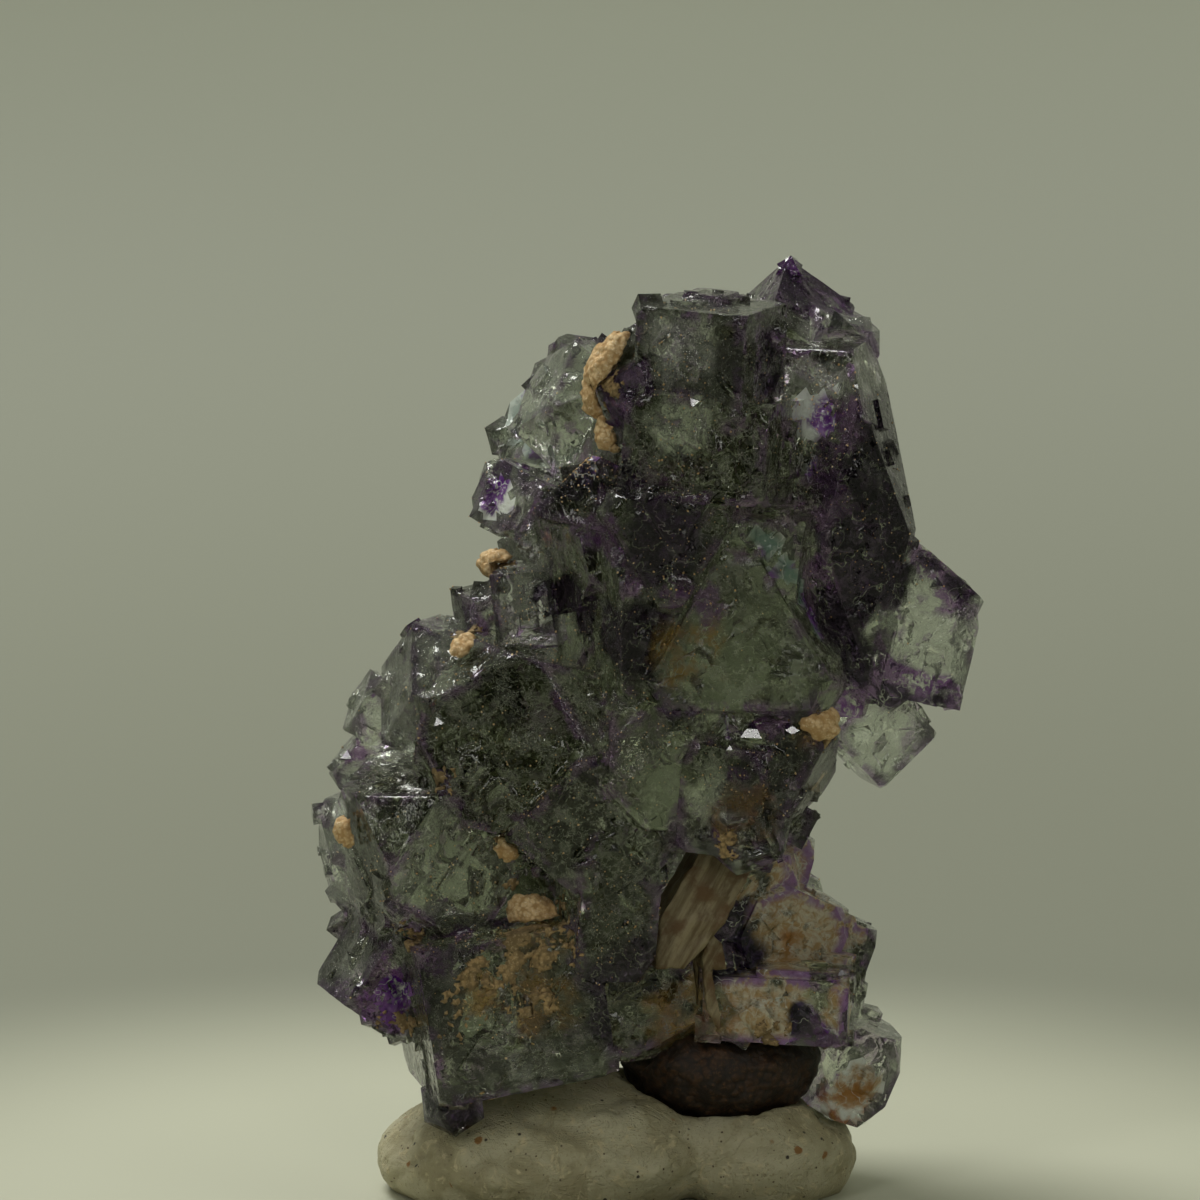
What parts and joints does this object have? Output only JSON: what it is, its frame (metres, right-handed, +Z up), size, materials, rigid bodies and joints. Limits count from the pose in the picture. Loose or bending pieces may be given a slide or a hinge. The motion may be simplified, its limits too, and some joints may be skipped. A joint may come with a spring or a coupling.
{
  "type": "fluorite crystal cluster",
  "caption": "Small leaning cluster of intergrown green and purple fluorite octahedra and cubes with tan matrix, standing in a pad of mounting putty.",
  "frame": {"origin": "middle of the flat underside of the putty pad, which is the surface that the specimen stands on", "axes": "+Z up, +X to the right seen from the front, and the front with the large dark crystals faces -Y"},
  "size_m": [0.0302, 0.0215, 0.0427],
  "materials": {
    "fluorite": "glassy crystal faces, some etched and frosted",
    "brown_matrix": "rough and iron-stained",
    "feldspar": "satin cleavage faces with fine grooves",
    "tan_matrix": "matte and granular",
    "putty": "dull, kneaded, with smudges and specks"
  },
  "bodies": {
    "root": {"fluorite_crystals": "fluorite", "foot_rock": "brown_matrix", "blade_large": "feldspar", "blade_small": "feldspar", "grain_crown": "tan_matrix", "grain_under_crown": "tan_matrix", "grain_on_pale_cube": "tan_matrix", "grain_beside_cube": "tan_matrix", "grain_left": "tan_matrix", "grain_middle": "tan_matrix", "grain_front": "tan_matrix", "grain_overhang": "tan_matrix", "putty_pad": "putty"}
  },
  "joints": []
}
